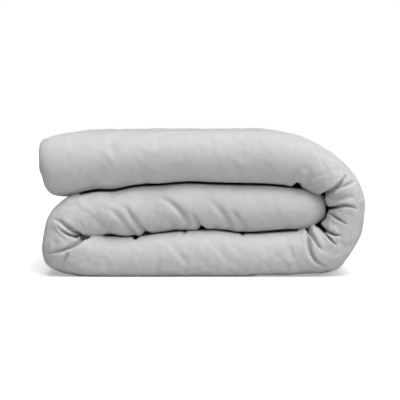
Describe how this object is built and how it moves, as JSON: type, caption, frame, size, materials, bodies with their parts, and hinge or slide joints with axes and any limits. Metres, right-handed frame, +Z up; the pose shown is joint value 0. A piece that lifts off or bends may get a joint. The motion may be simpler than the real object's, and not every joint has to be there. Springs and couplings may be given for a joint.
{
  "type": "folded duvet",
  "caption": "Filled duvet in a zipped cloth cover, folded in half along its length and then in three into a thick soft pack.",
  "frame": {"origin": "on the floor, under the middle of the folded pack", "axes": "+Z up, +X from the left bend to the bend on the right, -Y towards the round lengthwise fold"},
  "size_m": [0.6688, 0.6616, 0.2934],
  "materials": {
    "cover_cloth": "washed cotton, matt",
    "fill_ticking": "white cotton ticking over fibre fill",
    "zip_tape": "woven polyester tape and nylon coil",
    "zip_metal": "satin",
    "label_satin": "blank satin"
  },
  "bodies": {
    "lower": {"cover_face_lower": "cover_cloth", "cover_reverse_lower": "cover_cloth", "fill_channel_01": "fill_ticking", "fill_channel_02": "fill_ticking", "fill_channel_03": "fill_ticking", "fill_channel_04": "fill_ticking", "fill_channel_05": "fill_ticking", "fill_channel_06": "fill_ticking", "fill_channel_07": "fill_ticking", "fill_channel_08": "fill_ticking", "fill_channel_09": "fill_ticking", "fill_channel_10": "fill_ticking", "fill_channel_11": "fill_ticking"},
    "bend_low": {"cover_face_bend_low": "cover_cloth", "cover_reverse_bend_low": "cover_cloth", "fill_channel_12": "fill_ticking"},
    "bend_high": {"cover_face_bend_high": "cover_cloth", "cover_reverse_bend_high": "cover_cloth", "fill_channel_13": "fill_ticking"},
    "top": {"cover_face_top": "cover_cloth", "cover_reverse_top": "cover_cloth", "fill_channel_14": "fill_ticking", "fill_channel_15": "fill_ticking", "fill_channel_16": "fill_ticking", "fill_channel_17": "fill_ticking", "fill_channel_18": "fill_ticking", "fill_channel_19": "fill_ticking", "zip_tape_face": "zip_tape", "zip_tape_reverse": "zip_tape", "zip_chain": "zip_tape", "zip_stop_closed": "zip_metal", "zip_stop_open": "zip_metal", "care_label": "label_satin"},
    "zip_slider": {"zip_slider": "zip_metal"},
    "zip_pull": {"zip_pull": "zip_metal"}
  },
  "joints": [
    {"name": "fold_1", "type": "hinge", "parent": "lower", "child": "bend_low", "pos_m": [0.27194, 0, 0.02154], "axis": [0, 1, 0], "range_deg": [0, 60]},
    {"name": "fold_2", "type": "hinge", "parent": "bend_low", "child": "bend_high", "pos_m": [0.3344, 0, 0.1432], "axis": [0, 1, 0], "range_deg": [0, 57]},
    {"name": "fold_3", "type": "hinge", "parent": "bend_high", "child": "top", "pos_m": [0.27453, 0, 0.26935], "axis": [0, 1, 0], "range_deg": [0, 63]},
    {"name": "zip_run", "type": "slide", "parent": "top", "child": "zip_slider", "axis": [0, -1, 0], "range_m": [0, 0.411]},
    {"name": "pull_swing", "type": "hinge", "parent": "zip_slider", "child": "zip_pull", "pos_m": [-0.3326, 0.13958, 0.26695], "axis": [0, 0, -1], "range_deg": [0, 180]}
  ],
  "couplings": [
    {"joint": "fold_2", "follows": "fold_1", "ratio": 0.95},
    {"joint": "fold_3", "follows": "fold_1", "ratio": 1.05}
  ]
}
